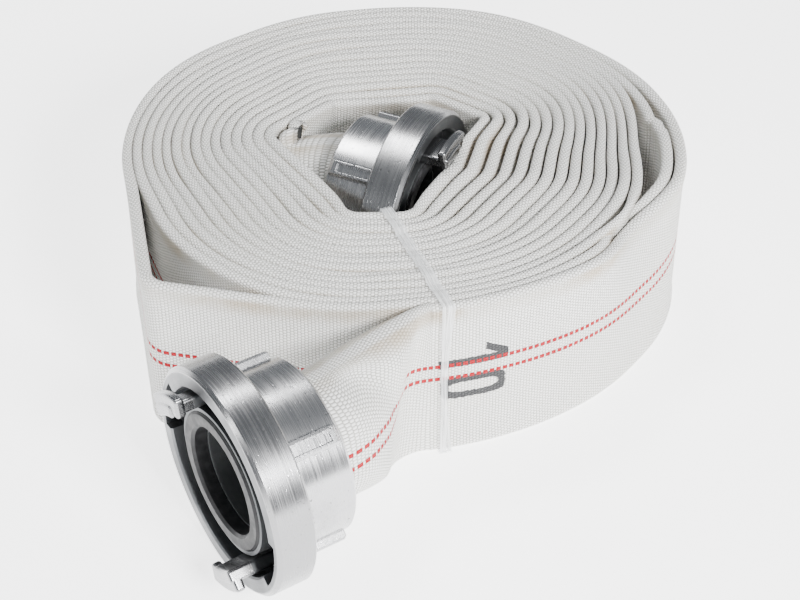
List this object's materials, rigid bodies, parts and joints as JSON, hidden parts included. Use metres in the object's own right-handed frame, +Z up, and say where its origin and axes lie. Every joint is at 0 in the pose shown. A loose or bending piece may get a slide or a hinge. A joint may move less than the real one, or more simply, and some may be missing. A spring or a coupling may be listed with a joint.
{
  "type": "rolled fire hose",
  "caption": "Flat-rolled woven fire hose held by a film tie, with a swivelling claw coupling on each end.",
  "frame": {"origin": "middle of the whole object's box, at floor level", "axes": "+Z up, along the axis of the roll; +Y to the back, away from the outer coupling; +X to the right"},
  "size_m": [0.2622, 0.3684, 0.0992],
  "materials": {
    "jacket": "woven matt",
    "lining": "satin",
    "coupling_alloy": "turned and brushed",
    "seal_rubber": "satin",
    "spring_steel": "bright wire",
    "binding_steel": "galvanised wire",
    "film": "clear film"
  },
  "bodies": {
    "hose": {"hose_roll": "jacket", "tie_strap": "film", "outer_jacket_end": "jacket", "outer_lining_end": "lining", "inner_jacket_end": "jacket", "inner_lining_end": "lining", "outer_shank": "coupling_alloy", "outer_seal": "seal_rubber", "outer_snap_ring": "spring_steel", "outer_binding_wire": "binding_steel", "inner_shank": "coupling_alloy", "inner_seal": "seal_rubber", "inner_snap_ring": "spring_steel", "inner_binding_wire": "binding_steel"},
    "outer_ring": {"outer_lug_ring": "coupling_alloy"},
    "inner_ring": {"inner_lug_ring": "coupling_alloy"}
  },
  "joints": [
    {"name": "outer_ring_swivel", "type": "hinge", "parent": "hose", "child": "outer_ring", "pos_m": [-0.07318, -0.14373, 0.0496], "axis": [-0.8426, -0.5379, -0.0262], "continuous": true},
    {"name": "inner_ring_swivel", "type": "hinge", "parent": "hose", "child": "inner_ring", "pos_m": [0.01282, 0.04077, 0.0498], "axis": [0.9132, -0.4066, -0.0262], "continuous": true}
  ]
}
